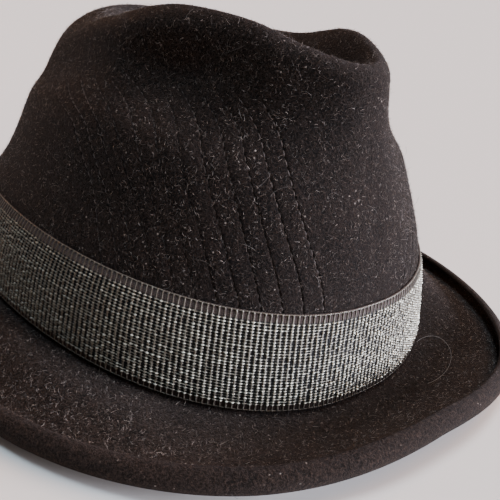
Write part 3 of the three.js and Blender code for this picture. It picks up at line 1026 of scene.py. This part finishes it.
class HAT_OT_nap(bpy.types.Operator):
    """Raise the felt's nap: short straight fibres, bent fibres and a few stray hairs"""
    bl_idname = "hat.nap"
    bl_label = "Nap and lint"
    # Radius and depth of a fibre's root, and the least height over the table.
    root, bent_root, sink, lowest = 0.038, 0.036, 0.02, 0.03
    # Mean length of each kind, the share of straight fibres that lie flat, and the hairs.
    straight_length, bent_length, flat_share = 0.95, 1.5, 0.75
    hair_count, hair_radius, loop_radius = 260, 0.032, 0.05
    loop_turn, loop_wide, loop_run, loop_long = 0.36, 0.145, 3.20, 0.26
    spike_faces = np.array([(0, 2, 1), (0, 1, 3), (1, 2, 3), (2, 0, 3)])
    bent_faces = np.array([(0, 2, 1), (0, 1, 4), (0, 4, 3), (1, 2, 5), (1, 5, 4), (2, 0, 3),
                           (2, 3, 5), (3, 4, 6), (4, 5, 6), (5, 3, 6)])

    def places(self, surface, random, count):
        """Points spread evenly over the felt that shows, with their normals, a level direction
        and the felt's wear and painted light there."""
        p = surface.points
        beside = np.roll(p, -1, axis=1)
        a, b, c, d = p[:-1], p[1:], beside[1:], beside[:-1]
        cross = np.cross(c - a, d - b)
        hidden = surface.band_mask()
        area = np.where(hidden[:-1] | hidden[1:], 0, np.linalg.norm(cross, axis=-1))
        spread = np.cumsum(area.ravel())
        cell = np.searchsorted(spread, random.random(count) * spread[-1])
        u, v = random.random((2, count, 1))
        corner = [x.reshape(-1, 3)[cell] for x in (a, b, c, d)]
        points = (corner[0] * (1 - u) + corner[1] * u) * (1 - v) \
            + (corner[3] * (1 - u) + corner[2] * u) * v
        normal = unit(-cross.reshape(-1, 3)[cell])
        outward = np.einsum("ij,ij->i", normal, surface.normal[:-1].reshape(-1, 3)[cell])
        normal = normal * np.sign(outward)[:, None]
        level = unit(np.cross(normal, unit(random.normal(size=(count, 3)))))
        return points, normal, level, surface.wear()[:-1].ravel()[cell]

    def above_table(self, points):
        """The points, none of them under the surface that the hat rests on."""
        points[..., 2] = np.maximum(points[..., 2], self.lowest)
        return points

    def fibres(self, points, faces, tone):
        """The same faces for each line of points, and each line's tone for its points."""
        count, size = points.shape[:2]
        start = (np.arange(count) * size)[:, None, None]
        flat = self.above_table(points.reshape(-1, 3))
        return flat, [(start + faces[None]).reshape(-1, 3)], np.repeat(np.clip(tone, 0, 1), size)

    def straight(self, surface, random, count):
        """Slender closed spikes of four faces."""
        points, normal, level, wear = self.places(surface, random, count)
        lift = np.where(random.random(count) < self.flat_share, random.uniform(3, 20, count),
                        random.uniform(20, 65, count))
        lean, side, up = fibre_axes(normal, level, lift)
        size = np.exp(random.normal(0.0, 0.35, count))[:, None] * self.straight_length
        base = rings(points - normal * self.sink, side, up, self.root, self.root, 3, 0)
        # Fibres get paler towards the brim's edge: partly wear, and partly painted light.
        tone = random.gamma(0.66, 0.38, count) * (0.84 + 1.3 * wear)
        verts = np.concatenate([base, (points + lean * size)[:, None]], 1)
        return self.fibres(verts, self.spike_faces, tone)

    def bent(self, surface, random, count):
        """Slender closed fibres with a bend halfway, ten faces each."""
        points, normal, level, wear = self.places(surface, random, count)
        lean, side, up = fibre_axes(normal, level, random.uniform(4, 45, count))
        size = np.exp(random.normal(0.0, 0.3, count))[:, None] * self.bent_length
        knee = points + lean * size * 0.5
        curl = side * random.normal(0, 0.9, count)[:, None]
        curl = curl - up * random.uniform(0.1, 0.5, count)[:, None]
        tip = knee + unit(lean + curl) * size * 0.5
        root = self.bent_root
        base = rings(points - normal * self.sink, side, up, root, root, 3, 0)
        bend = rings(knee, side, up, 0.8 * root, 0.8 * root, 3, 0)
        # Fibres get paler towards the brim's edge: partly wear, and partly painted light.
        tone = random.gamma(1.6, 0.2, count) * (0.82 + 0.6 * wear)
        return self.fibres(np.concatenate([base, bend, tip[:, None]], 1), self.bent_faces, tone)

    def hairs(self, surface, random, count):
        """Long stray hairs that lie on the felt as arcs of circles, as thin tubes."""
        points, normal, level, _ = self.places(surface, random, count)
        t = np.linspace(0, 1, 9)[None, :, None]
        size = np.exp(random.normal(1.2, 0.5, count))[:, None, None]
        other = np.cross(normal, level)
        sweep = random.normal(0, 1.1, count)[:, None, None]
        centres = points[:, None] + level[:, None] * size * np.sin(sweep * t) / (sweep + 1e-6) \
            + other[:, None] * size * (1 - np.cos(sweep * t)) / (sweep + 1e-6) \
            + normal[:, None] * (0.05 + 0.45 * np.sin(np.pi * t) * random.random((count, 1, 1)))
        verts, faces, corners = tubes(self.above_table(centres), normal[:, None],
                                      self.hair_radius, self.hair_radius, 3)
        return verts, faces, np.repeat(np.clip(random.gamma(3.0, 0.12, count), 0, 1), corners)

    def loop(self, form):
        """One long hair on the brim: an arc of an ellipse in turn and run, a little raised."""
        angle = np.radians(np.linspace(-52, 145, 40))[None, :]
        turn = self.loop_turn + self.loop_wide * np.cos(angle)
        run = self.loop_run + self.loop_long * np.sin(angle)
        normal = form.normal(turn, run)
        rise = 0.15 + 0.9 * np.sin(np.linspace(0, np.pi, 40)) ** 2
        centres = form.point(turn, run) + normal * rise[None, :, None]
        points, faces, corners = tubes(centres, normal, self.loop_radius, self.loop_radius, 4)
        return points, faces, np.full(corners, 0.75)

    def execute(self, context):
        sizes, colours = context.scene.hat_sizes, context.scene.hat_colours
        surface = FeltSurface(sizes)
        random = np.random.default_rng(SEED + 1)
        nap = fibre_material("nap_fibre", times(colours.nap, 0.4), colours.nap_pale)
        stray = fibre_material("stray_hair", colours.nap, colours.lint)
        pieces = (
            ("nap_first", nap, self.straight(surface, random, sizes.short_fibres)),
            ("nap_second", nap, self.straight(surface, random, sizes.short_fibres)),
            ("nap_curled", nap, self.bent(surface, random, sizes.curled_fibres)),
            ("stray_hairs", stray, self.hairs(surface, random, self.hair_count)),
            ("hair_on_brim", stray, self.loop(surface.form)),
        )
        for name, material, (points, faces, tone) in pieces:
            put_mesh(name, points, faces, material=material, smooth=material is stray,
                     attributes={"tone": tone})
        return {"FINISHED"}


# Studio

CAMERA_PLACE = (0.204009, -0.149785, 0.127457)
CAMERA_YAW, CAMERA_PITCH, CAMERA_ROLL = 2.409466, -0.417622, 0.134205
CAMERA_LENS = 46.64
SENSOR = 36.0

FLOOR_HALF = 15000.0

# Each light's name, the degrees from the hat's front towards the wearer's left and up at which
# it stands, the angle that it fills, its strength and its colour.
LIGHTS = (
    ("window", 42, 8, 36, 24.5, (0.74, 0.81, 1.0)),
    ("front", 12, 14, 40, 1.2, (1.0, 0.80, 0.70)),
    ("ceiling", 72, 60, 45, 3.2, (1.0, 0.56, 0.30)),
    ("sky", -75, 84, 20, 3.5, (0.58, 0.79, 1.0)),
    ("glow", -178, 22, 20, 1.1, (1.0, 0.46, 0.22)),
)


def camera_axes(yaw, pitch, roll):
    """Right, up and back of a camera that looks along its yaw and pitch and is rolled."""
    ahead = Vector((math.cos(pitch) * math.cos(yaw), math.cos(pitch) * math.sin(yaw),
                    math.sin(pitch)))
    right = Vector((math.sin(yaw), -math.cos(yaw), 0))
    up = right.cross(ahead)
    turned = right * math.cos(roll) + up * math.sin(roll)
    return turned, up * math.cos(roll) - right * math.sin(roll), -ahead


def add_light(name, azimuth, elevation, spread, strength, tint):
    """A far soft light, turned from where it stands towards the hat."""
    light = bpy.data.lights.new(name, "SUN")
    light.angle = math.radians(spread)
    light.energy = strength
    light.color = tint
    lamp = bpy.data.objects.new(name, light)
    bpy.context.scene.collection.objects.link(lamp)
    around, above = math.radians(azimuth), math.radians(elevation)
    stand = Vector((math.cos(around) * math.cos(above), math.sin(around) * math.cos(above),
                    math.sin(above)))
    lamp.rotation_euler = (-stand).to_track_quat("-Z", "Y").to_euler()


class HAT_OT_stage(bpy.types.Operator):
    """Set up the plain floor, the soft light and the camera"""
    bl_idname = "hat.stage"
    bl_label = "Studio"

    faint, backdrop = 0.06, 1.6

    def world(self):
        """Faint even light, and a pale backdrop behind the floor's far edge."""
        world = bpy.data.worlds.new("studio_world")
        world.use_nodes = True
        world.node_tree.nodes.clear()
        shade = Shade(world.node_tree)
        seen = shade.node("ShaderNodeLightPath", output=0)
        background = shade.node("ShaderNodeBackground", None, {
            "Color": (0.94, 0.95, 1.0, 1.0), "Strength": self.faint + self.backdrop * seen})
        shade.node("ShaderNodeOutputWorld", None, {"Surface": background})
        return world

    def execute(self, context):
        scene = context.scene
        corners = np.array([(-1, -1, 0), (1, -1, 0), (1, 1, 0), (-1, 1, 0)]) * FLOOR_HALF
        floor = put_mesh("floor", corners, [np.array([(0, 1, 2, 3)])], body=None, smooth=False,
                         material=floor_material(scene.hat_colours))
        scene.world = self.world()
        for light in LIGHTS:
            add_light(*light)
        camera = bpy.data.cameras.new("camera")
        camera.lens = CAMERA_LENS
        camera.sensor_width = SENSOR
        camera.clip_start = 0.005
        camera.clip_end = 60.0
        holder = bpy.data.objects.new("camera", camera)
        scene.collection.objects.link(holder)
        right, up, back = camera_axes(CAMERA_YAW, CAMERA_PITCH, CAMERA_ROLL)
        turn = Matrix((right, up, back)).transposed().to_4x4()
        holder.matrix_world = Matrix.Translation(CAMERA_PLACE) @ turn
        scene.camera = holder
        return {"FINISHED"}


class HAT_PT_panel(bpy.types.Panel):
    """Lists the hat's pieces and its sizes in the sidebar"""
    bl_idname = "HAT_PT_panel"
    bl_label = "Felt hat"
    bl_space_type = "VIEW_3D"
    bl_region_type = "UI"
    bl_category = "Hat"

    def draw(self, context):
        layout = self.layout
        for group in (context.scene.hat_sizes, context.scene.hat_colours):
            column = layout.column()
            for name in group.__annotations__:
                column.prop(group, name)
        for operator in OPERATORS:
            layout.operator(operator.bl_idname)


OPERATORS = (HAT_OT_felt, HAT_OT_stitches, HAT_OT_ribbon, HAT_OT_nap, HAT_OT_stage)
CLASSES = (HatSizes, HatColours) + OPERATORS + (HAT_PT_panel,)


def register():
    for cls in CLASSES:
        bpy.utils.register_class(cls)
    bpy.types.Scene.hat_sizes = PointerProperty(type=HatSizes)
    bpy.types.Scene.hat_colours = PointerProperty(type=HatColours)


def unregister():
    del bpy.types.Scene.hat_colours
    del bpy.types.Scene.hat_sizes
    for cls in reversed(CLASSES):
        bpy.utils.unregister_class(cls)


def main():
    register()
    bpy.ops.hat.felt()
    bpy.ops.hat.stitches()
    bpy.ops.hat.ribbon()
    bpy.ops.hat.nap()
    bpy.ops.hat.stage()


if __name__ == "__main__":
    main()
